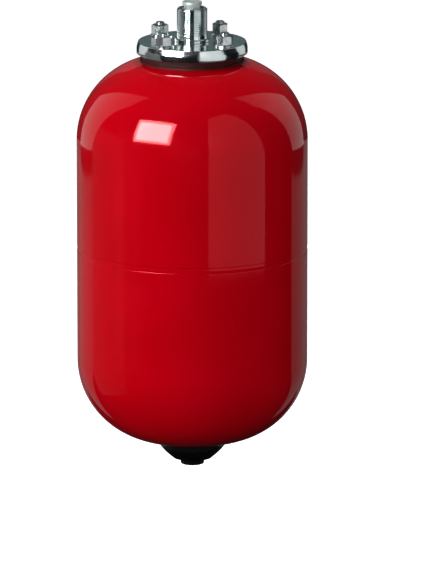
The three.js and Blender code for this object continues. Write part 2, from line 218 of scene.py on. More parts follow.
class Finish:
    """Small builder for one procedural material on the Principled shader."""

    def __init__(self, name):
        self.material = bpy.data.materials.new(name)
        self.material.use_nodes = True
        self.nodes = self.material.node_tree.nodes
        self.links = self.material.node_tree.links
        self.shader = self.nodes["Principled BSDF"]
        self.place = self.nodes.new("ShaderNodeTexCoord").outputs["Object"]

    def set(self, **values):
        """Sets the shader's inputs, with underscores for spaces in their names."""
        for name, value in values.items():
            self.shader.inputs[name.replace("_", " ")].default_value = value
        return self

    def scaled(self, x, y, z):
        """Object coordinates stretched by a factor on each axis."""
        node = self.nodes.new("ShaderNodeMapping")
        node.inputs["Scale"].default_value = (x, y, z)
        self.links.new(self.place, node.inputs["Vector"])
        return node.outputs["Vector"]

    def noise(self, scale, detail=2.0, rough=0.5, place=None):
        """Fractal noise from 0 to 1."""
        node = self.nodes.new("ShaderNodeTexNoise")
        node.inputs["Scale"].default_value = scale
        node.inputs["Detail"].default_value = detail
        node.inputs["Roughness"].default_value = rough
        self.links.new(place or self.place, node.inputs["Vector"])
        return node.outputs["Fac"]

    def ramp(self, fac, stops):
        """Maps a 0..1 pattern to colours, from (position, colour) stops."""
        node = self.nodes.new("ShaderNodeValToRGB")
        ramp = node.color_ramp
        while len(ramp.elements) < len(stops):
            ramp.elements.new(0.5)
        for element, (position, colour) in zip(ramp.elements, stops):
            element.position = position
            element.color = (*colour, 1.0)
        self.links.new(fac, node.inputs["Fac"])
        return node.outputs["Color"]

    def span(self, fac, least, most, start=0.3, end=0.7):
        """Maps a 0..1 pattern to a range of values."""
        node = self.nodes.new("ShaderNodeMapRange")
        node.inputs["From Min"].default_value = start
        node.inputs["From Max"].default_value = end
        node.inputs["To Min"].default_value = least
        node.inputs["To Max"].default_value = most
        self.links.new(fac, node.inputs["Value"])
        return node.outputs["Result"]

    def colour(self, fac, stops):
        """Base colour from a pattern and its stops."""
        self.links.new(self.ramp(fac, stops), self.shader.inputs["Base Color"])
        return self

    def roughness(self, fac, least, most):
        """Roughness that follows a pattern between two values."""
        self.links.new(self.span(fac, least, most), self.shader.inputs["Roughness"])
        return self

    def bump(self, *layers):
        """Stacks bump layers, each (pattern, strength, height in metres)."""
        normal = None
        for fac, strength, height in layers:
            node = self.nodes.new("ShaderNodeBump")
            node.inputs["Strength"].default_value = strength
            node.inputs["Distance"].default_value = height
            self.links.new(fac, node.inputs["Height"])
            if normal:
                self.links.new(normal, node.inputs["Normal"])
            normal = node.outputs["Normal"]
        self.links.new(normal, self.shader.inputs["Normal"])
        return self


# ------------------------------------------------------------------ materials


def red_paint():
    """Gloss powder coat: even red, a faint orange peel and the odd dull patch. Its reflections
    are tinted red except at grazing angles."""
    f = Finish("red_powder_coat").set(IOR=1.58, Specular_Tint=(1.0, 0.20, 0.21, 1.0))
    f.colour(f.noise(14, 3), [(0.3, (0.41, 0.0, 0.004)), (0.7, (0.46, 0.0, 0.006))])
    f.roughness(f.noise(38, 4), 0.045, 0.075)
    f.bump((f.noise(420, 2), 0.025, 0.0003), (f.noise(60, 2), 0.02, 0.0006))
    return f.material


def neck_painted_shade():
    """Dull dark red-brown for the ring and its weld under the counterflange: painted shade of the
    counterflange, standing in for their red paint.
    """
    f = Finish("neck_red_with_painted_shade").set(IOR=1.5, Specular_IOR_Level=0.05)
    # the dark red-brown is painted shade cast by the counterflange above
    f.colour(f.noise(60, 4, 0.6), [(0.3, (0.020, 0.004, 0.004)), (0.7, (0.042, 0.008, 0.007))])
    f.roughness(f.noise(200, 3), 0.45, 0.65)
    f.bump((f.noise(700, 2), 0.12, 0.0002))
    return f.material


def zinc_plate():
    """Bright zinc on pressed and turned steel: bluish, slightly cloudy, finely scratched."""
    f = Finish("bright_zinc").set(Metallic=1.0)
    f.colour(f.noise(70, 4), [(0.25, (0.58, 0.66, 0.66)), (0.75, (0.72, 0.79, 0.78))])
    f.roughness(f.noise(260, 3), 0.08, 0.16)
    scratches = f.noise(160, 3, 0.7, f.scaled(1, 1, 9))
    f.bump((scratches, 0.05, 0.0002), (f.noise(900, 2), 0.03, 0.0001))
    return f.material


def zinc_fastener():
    """The same plating on the small hexagons and washers, a little duller."""
    f = Finish("zinc_fastener").set(Metallic=1.0)
    f.colour(f.noise(240, 3), [(0.25, (0.40, 0.43, 0.44)), (0.75, (0.60, 0.63, 0.62))])
    f.roughness(f.noise(700, 3), 0.12, 0.24)
    f.bump((f.noise(1500, 3), 0.06, 0.0001))
    return f.material


def black_plastic():
    """Moulded polypropylene of the cover and the dust cap, with a fine grain."""
    f = Finish("black_polypropylene").set(IOR=1.49, Specular_IOR_Level=0.25)
    f.colour(f.noise(90, 3), [(0.3, (0.002, 0.002, 0.002)), (0.7, (0.004, 0.004, 0.004))])
    f.roughness(f.noise(300, 3), 0.34, 0.50)
    f.bump((f.noise(2600, 2), 0.18, 0.0001), (f.noise(120, 2), 0.05, 0.0004))
    return f.material


def grey_plastic():
    """Soft light grey polyethylene of the transit plug."""
    f = Finish("grey_polyethylene").set(IOR=1.52)
    f.colour(f.noise(160, 3), [(0.3, (0.25, 0.29, 0.27)), (0.7, (0.33, 0.37, 0.35))])
    f.roughness(f.noise(400, 3), 0.30, 0.45)
    f.bump((f.noise(1400, 2), 0.10, 0.0002))
    return f.material


def rubber():
    """Black EPDM with a dusty, uneven bloom."""
    f = Finish("black_rubber").set(IOR=1.5)
    f.colour(f.noise(45, 5, 0.7), [(0.35, (0.012, 0.012, 0.013)), (0.8, (0.045, 0.045, 0.046))])
    f.roughness(f.noise(220, 3), 0.62, 0.85)
    f.bump((f.noise(1100, 3), 0.25, 0.0003), (f.noise(80, 3), 0.10, 0.001))
    return f.material


def brass():
    """Turned brass with fine tool marks round the axis."""
    f = Finish("machined_brass").set(Metallic=1.0)
    f.colour(f.noise(180, 4), [(0.3, (0.60, 0.40, 0.15)), (0.7, (0.76, 0.55, 0.25))])
    f.roughness(f.noise(600, 3), 0.18, 0.34)
    f.bump((f.noise(300, 2, 0.5, f.scaled(1, 1, 14)), 0.15, 0.0002))
    return f.material


def spring_steel():
    """Bright drawn wire and the valve's pin."""
    f = Finish("drawn_steel").set(Metallic=1.0)
    f.colour(f.noise(400, 3), [(0.3, (0.36, 0.36, 0.37)), (0.7, (0.55, 0.55, 0.55))])
    f.roughness(f.noise(900, 3), 0.22, 0.36)
    f.bump((f.noise(2500, 2), 0.08, 0.0001))
    return f.material


RED = red_paint()
NECK_PAINTED_SHADE = neck_painted_shade()
ZINC = zinc_plate()
ZINC_FASTENER = zinc_fastener()
BLACK = black_plastic()
GREY = grey_plastic()
RUBBER = rubber()
BRASS = brass()
STEEL = spring_steel()


# ------------------------------------------------------------------ pressed shell

BODY_R = high("upper_shell").x
SEAM_TOP = high("girth_weld").z
SEAM_BOTTOM = low("girth_weld").z
CROWN_TOP = -43.0
BODY_BOTTOM = -382.5
KNUCKLE_R = 71.8
CROWN_R = 368.0
WALL = 1.0
EDGE_ROUND = 0.3
SHELL_SEGMENTS = 256
KNUCKLE_CENTRE_R = BODY_R - KNUCKLE_R
DISH_RISE = math.sqrt((CROWN_R - KNUCKLE_R) ** 2 - KNUCKLE_CENTRE_R ** 2)
DISH_DEPTH = CROWN_R - DISH_RISE
JOIN_ANGLE = math.degrees(math.atan2(DISH_RISE, KNUCKLE_CENTRE_R))
NECK_OPENING_R = 24.0
BOSS_HOLE_R = 9.3


def dished_end(hole_r, way, inset):
    """Half outline of a dished end from its hole to the cylinder; way is 1 up, -1 down."""
    apex = CROWN_TOP if way > 0 else BODY_BOTTOM
    from_hole = math.degrees(math.acos(hole_r / (CROWN_R - inset)))
    crown = arc(0, -CROWN_R, CROWN_R - inset, from_hole, JOIN_ANGLE, 6)
    knuckle = arc(KNUCKLE_CENTRE_R, -DISH_DEPTH, KNUCKLE_R - inset, JOIN_ANGLE, 0, 40)
    return [(r, apex + way * z) for r, z in crown + knuckle[1:]]


def crown_level(radius):
    """Level of the shell's outside over a radius on the top end."""
    if radius < KNUCKLE_CENTRE_R + KNUCKLE_R * math.cos(math.radians(JOIN_ANGLE)):
        drop = CROWN_R - math.sqrt(CROWN_R ** 2 - radius ** 2)
    else:
        reach = radius - KNUCKLE_CENTRE_R
        drop = DISH_DEPTH - math.sqrt(KNUCKLE_R ** 2 - reach ** 2)
    return CROWN_TOP - drop


def make_shells():
    """The two drawn halves; the lower one is stepped in to lap inside the upper one."""
    edge = high("girth_weld").z + 0.1
    upper = dished_end(NECK_OPENING_R, 1, 0)
    upper += [(BODY_R, edge + 2 * EDGE_ROUND)]
    upper += arc(BODY_R - EDGE_ROUND, edge + EDGE_ROUND, EDGE_ROUND, 0, -90, 4)
    upper += [(BODY_R - WALL, edge)]
    upper += dished_end(NECK_OPENING_R, 1, WALL)[::-1]
    spun("upper_shell", upper, RED, SHELL_SEGMENTS)

    lap_r = BODY_R - WALL - GAP
    lap_top = high("lower_shell").z
    edge = low("girth_weld").z - 0.1
    lower = dished_end(BOSS_HOLE_R, -1, 0)
    lower += [(BODY_R, edge - 2 * EDGE_ROUND)]
    lower += arc(BODY_R - EDGE_ROUND, edge - EDGE_ROUND, EDGE_ROUND, 0, 90, 4)
    lower += [(lap_r, edge), (lap_r, lap_top), (lap_r - WALL, lap_top)]
    lower += [(lap_r - WALL, edge - WALL), (BODY_R - WALL, edge - 3 * WALL)]
    lower += dished_end(BOSS_HOLE_R, -1, WALL)[::-1]
    spun("lower_shell", lower, RED, SHELL_SEGMENTS)


def make_girth_weld():
    """Ground and painted bead in the lap joint's step, just under the surface, with slow
    ripples along it."""
    inner = BODY_R - WALL
    crown = high("girth_weld").x - 0.05
    droop = 0.12  # how far the bead's edges lie under its middle
    steps = 8
    ripples = 180

    def outline(turn):
        around = Vector((math.cos(turn), math.sin(turn), 0))
        lift = 0.02 * math.sin(ripples * turn) + 0.03 * noise.noise(around * 9)
        points = [(inner, SEAM_BOTTOM)]
        for k in range(steps + 1):
            t = k / steps
            r = crown - droop * (1 - math.sin(math.pi * t)) + lift
            points.append((r, SEAM_BOTTOM + (SEAM_TOP - SEAM_BOTTOM) * t))
        points.append((inner, SEAM_TOP))
        return points

    spun("girth_weld", outline, RED, 4 * ripples)


# ------------------------------------------------------------------ neck, studs and flange

STUD_PITCH = 1.25
STUD_R = 4.0
STUD_THREAD_DEPTH = 0.68
STUD_HOLE_R = 4.5
HOLE_SEGMENTS = 48
STUDS = range(1, 5)


def middle(node):
    """Centre of a CAD node in plan, in millimetres."""
    centre = (low(node) + high(node)) / 2
    return centre.x, centre.y


STUD_PLACES = [middle(f"stud_{i}") for i in STUDS]


def make_neck():
    """The ring that takes the studs, turned to the crown's curve, and its weld bead."""
    outer, inner = high("neck_ring").x, NECK_OPENING_R
    top = high("neck_ring").z
    ring = [(r, crown_level(r) + GAP) for r in (inner, inner + 8, outer - 6, outer)]
    ring += [(outer, top - 0.8), (outer - 0.8, top), (inner + 0.8, top), (inner, top - 0.8)]
    # the ring's dark red-brown is painted shade from the counterflange, in place of red paint
    drilled("neck_ring", ring, NECK_PAINTED_SHADE, 144)

    start, leg = outer + GAP, 1.5
    ripples = 110
    steps = 6

    def bead(turn):
        swell = 0.06 * math.sin(ripples * turn)
        base = crown_level(start) + GAP
        toe = crown_level(start + leg) + GAP
        points = [(start, base)]
        for k in range(steps + 1):
            t = k / steps
            puff = (0.2 + swell) * math.sin(math.pi * t)
            points.append((start + leg * (1 - t) + puff, toe + (base + leg - toe) * t + puff))
        return points

    # the weld's dark red-brown is painted shade from the counterflange, in place of red paint
    spun("neck_weld", bead, NECK_PAINTED_SHADE, 4 * ripples)


def make_studs():
    """M8 studs, plain where they stand in the ring and threaded above."""
    for i in STUDS:
        bottom, top = low(f"stud_{i}").z, high(f"stud_{i}").z
        thread = threaded(STUD_R, STUD_THREAD_DEPTH, STUD_PITCH, bottom + 6, top, chamfer=0.9)

        def outline(turn, thread=thread, bottom=bottom, top=top):
            return [(0, bottom), (STUD_R - 0.5, bottom), (STUD_R, bottom + 0.5),
                    *thread(turn), (0, top)]

        spun(f"stud_{i}", outline, ZINC_FASTENER, 40, STUD_PLACES[i - 1])


def make_washers():
    """Flat washers with bevelled edges."""
    hole, rim, bevel = STUD_R + GAP, 8.0, 0.25
    for i in STUDS:
        bottom, top = low(f"washer_{i}").z, high(f"washer_{i}").z
        outline = [(hole, bottom), (rim - bevel, bottom), (rim, bottom + bevel),
                   (rim, top - 2 * bevel), (rim - bevel, top - bevel / 2),
                   (rim - 2 * bevel, top), (hole + bevel, top), (hole, top - bevel)]
        spun(f"washer_{i}", outline, ZINC_FASTENER, 96, STUD_PLACES[i - 1])


def hexagon_radius(turn, flats):
    """Distance from the axis to a hexagon's side at an angle. Its first flat faces +X."""
    off = (turn + math.pi / 6) % (math.pi / 3) - math.pi / 6
    return flats / 2 / math.cos(off)


def hex_outline(flats, hole, bottom, top):
    """Outline of a nut chamfered at both ends, as a function of the angle."""
    face_r = flats / 2 * 0.96
    slope = math.tan(math.radians(30))
    lead = 0.55
    soft = 0.12

    def outline(turn):
        r = hexagon_radius(turn, flats)
        drop = max(0.0, (r - face_r) * slope)
        return [(hole, bottom + lead), (hole + lead, bottom), (min(face_r, r), bottom),
                (r - soft, bottom + drop), (r, bottom + drop + soft),
                (r, top - drop - soft), (r - soft, top - drop + soft * 0.3),
                (min(face_r, r), top), (hole + lead, top), (hole, top - lead)]

    return outline


NUT_FLATS = 13.0
NUT_TURNS = (0, 30, -8, -8)  # degrees each nut is left turned by when it is tight


def make_nuts():
    """Hexagon nuts, chamfered at both ends."""
    for i in STUDS:
        bottom, top = low(f"nut_{i}").z, high(f"nut_{i}").z
        outline = hex_outline(NUT_FLATS, STUD_R + 0.12, bottom, top)
        mesh = spun_mesh(f"nut_{i}_fine", outline, 144)
        mesh.transform(Matrix.Rotation(math.radians(NUT_TURNS[i - 1]), 4, "Z"))
        x, y = STUD_PLACES[i - 1]
        mesh.transform(Matrix.Translation((x * MM, y * MM, 0)))
        piece = new_object(f"nut_{i}_fine", mesh)
        shade(piece, NUT_SHARP_ANGLE)
        stand_for(piece, f"nut_{i}", ZINC_FASTENER)


def make_counterflange():
    """Pressed plate: flat top, a small bend, a rim that flares out and then runs straight."""
    rim, top, bottom = high("counterflange").x, high("counterflange").z, low("counterflange").z
    thick = 3.0
    hole = 12.5
    bend = 0.7
    bend_r = rim - 1.1 - bend
    outline = [(hole, top - 0.4), (hole + 0.4, top), (bend_r - 2, top)]
    outline += arc(bend_r, top - bend, bend, 90, 16, 6)
    outline += [(rim - 0.15, top - 4.3), (rim - 0.03, top - 4.8), (rim, top - 5.4)]
    outline += [(rim, bottom + 0.8), (rim - 0.15, bottom + 0.3), (rim - 0.6, bottom)]
    outline += [(rim - thick + 0.4, bottom), (rim - thick, bottom + 0.4)]
    outline += arc(rim - thick - 1, top - thick - 1, 1, 0, 90, 4)
    outline += [(hole, top - thick)]
    drilled("counterflange", outline, ZINC, 192)


# ------------------------------------------------------------------ connection

PIPE_PITCH = 25.4 / 14
PIPE_THREAD_DEPTH = 1.16


def make_nipple():
    """G 3/4 male nipple with its base collar and a spigot through the plate."""
    collar_r, bottom = high("connection_nipple").x, low("connection_nipple").z
    top = high("connection_nipple").z
    plate = high("counterflange").z
    thread_r, bore_r, spigot_r = 13.22, 9.5, 12.2
    collar_top = -26.3
    thread = threaded(thread_r, PIPE_THREAD_DEPTH, PIPE_PITCH, collar_top + 3, top,
                      runout=1.5, chamfer=1.1, rows=12)

    def outline(turn):
        return [(bore_r, bottom + 0.5), (bore_r + 0.5, bottom), (spigot_r, bottom),
                (spigot_r, plate + 0.1), (collar_r - 0.3, plate + 0.1),
                (collar_r, plate + 0.4), (collar_r, collar_top - 0.7),
                (collar_r - 0.3, collar_top - 0.4), (thread_r + 0.1, collar_top),
                (thread_r, collar_top + 0.3),
                *thread(turn), (bore_r + 0.8, top), (bore_r, top - 0.8)]

    spun("connection_nipple", outline, ZINC, 128)


def make_plug():
    """Push-in plug: a hollow stopper with a flat head, two soft fins and a shallow dish."""
    top, bottom = high("bore_plug").z, low("bore_plug").z
    r, head_r, head_t, fin_r, wall = 7.6, 8.45, 3.0, high("bore_plug").x, 1.6
    outline = [(0, top - 0.9), (4.6, top - 0.9), (5.4, top - 0.6), (6.2, top - 0.1),
               (6.8, top), (head_r - 0.4, top), (head_r - 0.1, top - 0.15),
               (head_r, top - 0.5), (head_r, top - head_t + 0.3),
               (head_r - 0.3, top - head_t), (r - 0.7, top - head_t - 0.1),
               (r - 0.7, -0.6), (r, -1.4)]
    for level in (-6.0, -11.0):
        outline += [(r, level + 1), (r + 0.3, level + 0.6), (fin_r - 0.1, level + 0.15),
                    (fin_r, level), (fin_r - 0.15, level - 0.15), (r + 0.2, level - 0.6),
                    (r, level - 1)]
    outline += [(r, bottom + 1.2), (r - 0.7, bottom), (r - wall, bottom),
                (r - wall, top - 2.8), (r - wall - 0.8, top - wall - 0.4),
                (0, top - wall - 0.4)]
    spun("bore_plug", outline, GREY, 96)


# ------------------------------------------------------------------ bladder


def bag_outline(inset, mouth, neck_r, bag_r, bottom):
    """Half outline of the moulded bag from its mouth to its closed end."""
    shoulder, foot, neck_end = -118.0, -258.0, -52.0 - inset
    neck, bag, floor = neck_r - inset, bag_r - inset, bottom + inset
    points = [(neck, mouth)]
    steps = 16
    for k in range(steps + 1):
        t = math.pi / 2 * k / steps
        points.append((neck + (bag - neck) * math.sin(t),
                       shoulder + (neck_end - shoulder) * math.cos(t)))
    for k in range(steps + 1):
        t = math.pi / 2 * k / steps
        r = 0 if k == steps else bag * math.cos(t)
        points.append((r, foot + (floor - foot) * math.sin(t)))
    return points


def make_bladder():
    """The rubber bag, with its lip drilled for the studs."""
    lip_r, lip_top = 43.0, high("bladder").z
    lip_bottom = lip_top - 2.9
    neck_r, bag_r, bottom, wall = 22.6, 70.0, low("bladder").z, 2.4
    outline = bag_outline(wall, lip_top, neck_r, bag_r, bottom)[::-1]
    outline += [(lip_r - 0.6, lip_top), (lip_r, lip_top - 0.6), (lip_r, lip_bottom + 0.6),
                (lip_r - 0.6, lip_bottom)]
    outline += bag_outline(0, lip_bottom, neck_r, bag_r, bottom)
    drilled("bladder", outline, RUBBER, 96)


# ------------------------------------------------------------------ gas valve

VALVE_STEM_R = 3.85
VALVE_SHANK_R = 5.0
VALVE_BORE_R = 2.6
VALVE_PITCH = 25.4 / 32
VALVE_FLATS = 14.0


def make_boss():
    """The boss that carries the gas valve, and the weld bead round it."""
    outer, inner = high("valve_boss").x, VALVE_SHANK_R + GAP
    bottom, top = low("valve_boss").z, high("valve_boss").z
    outline = [(inner, bottom + 0.4), (inner + 0.4, bottom), (outer - 0.5, bottom),
               (outer, bottom + 0.5), (outer, top - 0.5), (outer - 0.5, top),
               (inner + 0.4, top), (inner, top - 0.4)]
    spun("valve_boss", outline, RED, 72)

    leg = 2.6
    start = high("boss_weld").x - leg
    top = high("boss_weld").z
    ripples = 28
    steps = 6

    def bead(turn):
        swell = 0.1 * math.sin(ripples * turn)
        points = [(start, top)]
        for k in range(steps + 1):
            t = k / steps
            puff = (0.3 + swell) * math.sin(math.pi * t)
            points.append((start + leg * (1 - t) + puff * 0.7, top - leg * t - puff * 0.7))
        return points

    spun("boss_weld", bead, RED, 6 * ripples)


def make_valve():
    """The valve's rubber seal and its brass body: shank, hexagon and threaded stem."""
    bottom, top = low("valve_seal").z, high("valve_seal").z
    inner, outer = VALVE_SHANK_R + GAP, high("valve_seal").x
    mid = (bottom + top) / 2
    outline = [(inner, bottom), (outer - 0.5, bottom), (outer - 0.1, bottom + 0.3),
               (outer, mid), (outer - 0.1, top - 0.3), (outer - 0.5, top), (inner, top)]
    spun("valve_seal", outline, RUBBER, 72)

    stem_end, shank_end = low("valve_body").z, high("valve_body").z
    hex_top = low("valve_seal").z - 0.1
    hex_bottom = hex_top - 4.0
    # the stem points down, so its thread is made upside down and its levels are turned over
    thread = threaded(VALVE_STEM_R, 0.4, VALVE_PITCH, -(hex_bottom - 0.8), -stem_end,
                      chamfer=0.5, rows=8)
    face_r = VALVE_FLATS / 2 * 0.96
    slope = math.tan(math.radians(30))

    def outline(turn):
        hexagon_r = hexagon_radius(turn, VALVE_FLATS)
        drop = max(0.0, (hexagon_r - face_r) * slope)
        stem = [(r, -z) for r, z in thread(turn)]
        return [(VALVE_BORE_R, shank_end), (VALVE_SHANK_R - 0.4, shank_end),
                (VALVE_SHANK_R, shank_end - 0.4), (VALVE_SHANK_R, hex_top),
                (hexagon_r - 0.1, hex_top), (hexagon_r, hex_top - 0.1),
                (hexagon_r, hex_bottom + drop), (min(face_r, hexagon_r), hex_bottom),
                (VALVE_STEM_R + 0.4, hex_bottom), (VALVE_STEM_R, hex_bottom - 0.4),
                *stem, (VALVE_BORE_R + 0.3, stem_end), (VALVE_BORE_R, stem_end + 0.3)]

    spun("valve_body", outline, BRASS, 72)


def make_core():
    """The core's barrel with its grooves, and the pin with its sealing cup and collar."""
    bottom, top = low("valve_core").z, high("valve_core").z
    outer, hole, chamber = high("valve_core").x, 0.95, 1.8
    outline = [(hole, top), (outer - 0.3, top), (outer, top - 0.3)]
    grooves, groove_pitch, first_groove = 5, 0.6, 3.2
    for k in range(grooves):
        level = bottom + first_groove - groove_pitch * k
        outline += [(outer, level + 0.15), (outer - 0.2, level), (outer, level - 0.15)]
    outline += [(outer, bottom + 0.2), (outer - 0.2, bottom), (chamber, bottom),
                (chamber, top - 1), (hole, top - 1)]
    spun("valve_core", outline, BRASS, 48)

    bottom, top = low("valve_pin").z, high("valve_pin").z
    cup_r, pin_r, collar_r, collar = high("valve_pin").x, 0.6, 1.5, -391.6
    cup_bottom = high("valve_core").z + GAP
    outline = [(0, top), (cup_r - 0.4, top), (cup_r, top - 0.4), (cup_r, cup_bottom),
               (pin_r, cup_bottom), (pin_r, collar), (collar_r - 0.1, collar),
               (collar_r, collar - 0.1), (collar_r, collar - 0.9), (collar_r - 0.1, collar - 1),
               (pin_r, collar - 1), (pin_r, bottom + 0.2), (pin_r - 0.2, bottom), (0, bottom)]
    spun("valve_pin", outline, STEEL, 40)


def make_spring():
    """The core's spring as a round wire along its helix, with closed ends."""
    bottom, top = low("valve_spring").z, high("valve_spring").z
    wire_r, turns, steps, sides = 0.18, 6, 24, 8
    coil_r = high("valve_spring").x - wire_r
    mesh = bmesh.new()
    rings = []
    for k in range(turns * steps + 1):
        angle = TAU * k / steps
        level = bottom + wire_r + (top - bottom - 2 * wire_r) * k / (turns * steps)
        out = Vector((math.cos(angle), math.sin(angle), 0))
        ring = []
        for s in range(sides):
            side = TAU * s / sides
            place = out * (coil_r + wire_r * math.cos(side))
            place.z = level + wire_r * math.sin(side)
            ring.append(mesh.verts.new(place * MM))
        rings.append(ring)
    for here, there in zip(rings, rings[1:]):
        for s in range(sides):
            n = (s + 1) % sides
            mesh.faces.new([here[s], here[n], there[n], there[s]])
    mesh.faces.new(rings[0])
    mesh.faces.new(rings[-1])
    bmesh.ops.recalc_face_normals(mesh, faces=mesh.faces)
    made = bpy.data.meshes.new("valve_spring_fine")
    mesh.to_mesh(made)
    mesh.free()
    piece = new_object("valve_spring_fine", made)
    shade(piece)
    stand_for(piece, "valve_spring", STEEL)


def make_dust_cap():
    """Small screw cap with a fine knurl."""
    bottom, top = low("dust_cap").z, high("dust_cap").z
    outer, bore, end = high("dust_cap").x, 4.1, 1.2
    knurls = 30

    def outline(turn):
        cut = 0.3 * (0.5 - 0.5 * math.cos(knurls * turn))
        return [(0, bottom), (outer - 1.2, bottom), (outer - 0.4, bottom + 0.5),
                (outer - 0.15, bottom + 1.0), (outer - cut, bottom + 1.5),
                (outer - cut, top - 1.3), (outer - 0.05, top - 0.9), (outer, top - 0.2),
                (outer - 0.2, top), (bore + 0.3, top), (bore, top - 0.3),
                (bore, bottom + end), (0, bottom + end)]

    spun("dust_cap", outline, BLACK, 4 * knurls)


def make_cover():
    """Flared black cover: a thin rim under the crown, a rounded cone, a blunt ribbed nose and
    the sleeve inside that grips the valve's hexagon."""
    rim, bottom, top = high("valve_cover").x, low("valve_cover").z, high("valve_cover").z
    wall, nose_r = 1.7, 10.3
    shoulder_z, floor_z, floor_r = -387.6, -398.6, 16.5
    sleeve_r, sleeve_wall, sleeve_top = 8.4, 1.4, -387.0
    ribs = 16
    flank = []
    steps = 12
    for k in range(steps + 1):
        t = k / steps
        bulge = 0.3 * math.sin(math.pi * t)
        flank.append((floor_r + 1.2 + (rim - floor_r - 1.2) * t + bulge,
                      floor_z + 0.9 + (shoulder_z - floor_z - 0.9) * t - bulge))
    flank[-1] = (rim, shoulder_z)

    def outline(turn):
        rib = 0.35 * smooth(1.6 * (0.5 + 0.5 * math.cos(ribs * turn)) - 0.3)
        nose = nose_r - 0.35 + rib
        points = [(0, bottom + 0.35), (3.2, bottom + 0.35), (3.8, bottom), (nose - 1.3, bottom),
                  (nose - 0.4, bottom + 0.35), (nose, bottom + 1.2),
                  (nose, floor_z - 0.7), (nose_r + 0.4, floor_z - 0.1),
                  (nose_r + 1.2, floor_z), (floor_r - 0.6, floor_z),
                  (floor_r + 0.6, floor_z + 0.25)]
        points += flank
        points += [(rim, top - 0.5), (rim - 0.4, top), (rim - wall + 0.3, top),
                   (rim - wall, top - 0.3), (rim - wall, shoulder_z),
                   (floor_r - wall / 2, floor_z + wall), (sleeve_r + sleeve_wall, floor_z + wall),
                   (sleeve_r + sleeve_wall, sleeve_top - 0.4),
                   (sleeve_r + sleeve_wall - 0.4, sleeve_top), (sleeve_r + 0.3, sleeve_top),
                   (sleeve_r, sleeve_top - 0.3), (sleeve_r, floor_z + wall),
                   (nose_r - wall, floor_z), (nose_r - wall, bottom + wall),
                   (0, bottom + wall)]
        return points

    spun("valve_cover", outline, BLACK, 8 * ribs)


make_shells()
make_girth_weld()
make_neck()
make_studs()
make_washers()
make_nuts()
make_counterflange()
make_nipple()
make_plug()
make_bladder()
make_boss()
make_valve()
make_core()
make_spring()
make_dust_cap()
make_cover()


# ------------------------------------------------------------------ stage, camera and light

VIEW_TILT = math.radians(12.9)
VIEW_DISTANCE = 8.0
LENS = 572.0
SENSOR = 36.0
BODY_CENTRE = Vector((0, 0, -0.211))  # metres, like everything in this section
AIM_RIGHT = 0.0262  # the camera aims this far to the right of the body's centre
AIM_DOWN = 0.0381  # and this far below it


def make_camera():
    """Long lens, tilted down at the vessel, which stands up and left of the middle."""
    data = bpy.data.cameras.new("camera")
    data.sensor_width = SENSOR
    data.lens = LENS
    data.clip_start = 0.1
    data.clip_end = 100.0
    camera = bpy.data.objects.new("camera", data)
    bpy.context.scene.collection.objects.link(camera)
    back = Vector((0, -math.cos(VIEW_TILT), math.sin(VIEW_TILT)))
    up = Vector((0, math.sin(VIEW_TILT), math.cos(VIEW_TILT)))
    right = Vector((1, 0, 0))
    aim = BODY_CENTRE + right * AIM_RIGHT - up * AIM_DOWN
    camera.location = aim + back * VIEW_DISTANCE
    camera.rotation_mode = "QUATERNION"
    camera.rotation_quaternion = (-back).to_track_quat("-Z", "Y")
    bpy.context.scene.camera = camera


def direction(azimuth, elevation):
    """Unit vector; azimuth 0 points to the viewer's side and 90 to the right, in degrees."""
    a, e = math.radians(azimuth), math.radians(elevation)
    return Vector((math.sin(a) * math.cos(e), -math.cos(a) * math.cos(e), math.sin(e)))


def panel(name, azimuth, elevation, distance, width, height, irradiance):
    """Softbox that lights matt surfaces only. Irradiance is what it gives at the vessel."""
    data = bpy.data.lights.new(name, "AREA")
    data.shape = "RECTANGLE"
    data.size = width
    data.size_y = height
    data.energy = irradiance * distance ** 2 * math.pi
    light = bpy.data.objects.new(name, data)
    bpy.context.scene.collection.objects.link(light)
    out = direction(azimuth, elevation)
    light.location = BODY_CENTRE + out * distance
    light.rotation_mode = "QUATERNION"
    light.rotation_quaternion = out.to_track_quat("Z", "Y")
    light.visible_camera = False
    light.visible_glossy = False


def light_sheet(name, azimuth, elevation, distance, corners, radiance, tint=(1, 1, 1)):
    """Glowing sheet seen in reflections only. It lies square to a direction from the body's
    centre; corners are metres to the right and up in its plane, as the viewer's side has it."""
    back = direction(azimuth, elevation)
    right = Vector((math.cos(math.radians(azimuth)), math.sin(math.radians(azimuth)), 0))
    up = back.cross(right)
    up = up if up.z > 0 else -up
    centre = BODY_CENTRE + back * distance
    mesh = bpy.data.meshes.new(name)
    mesh.from_pydata([centre + right * u + up * v for u, v in corners], [],
                     [tuple(range(len(corners)))])
    sheet = new_object(name, mesh)
    glow = bpy.data.materials.new(name)
    glow.use_nodes = True
    shader = glow.node_tree.nodes["Principled BSDF"]
    shader.inputs["Base Color"].default_value = (0, 0, 0, 1)
    shader.inputs["Emission Color"].default_value = (*tint, 1)
    shader.inputs["Emission Strength"].default_value = radiance
    mesh.materials.append(glow)
    sheet.visible_camera = False
    sheet.visible_shadow = False
    sheet.visible_diffuse = False


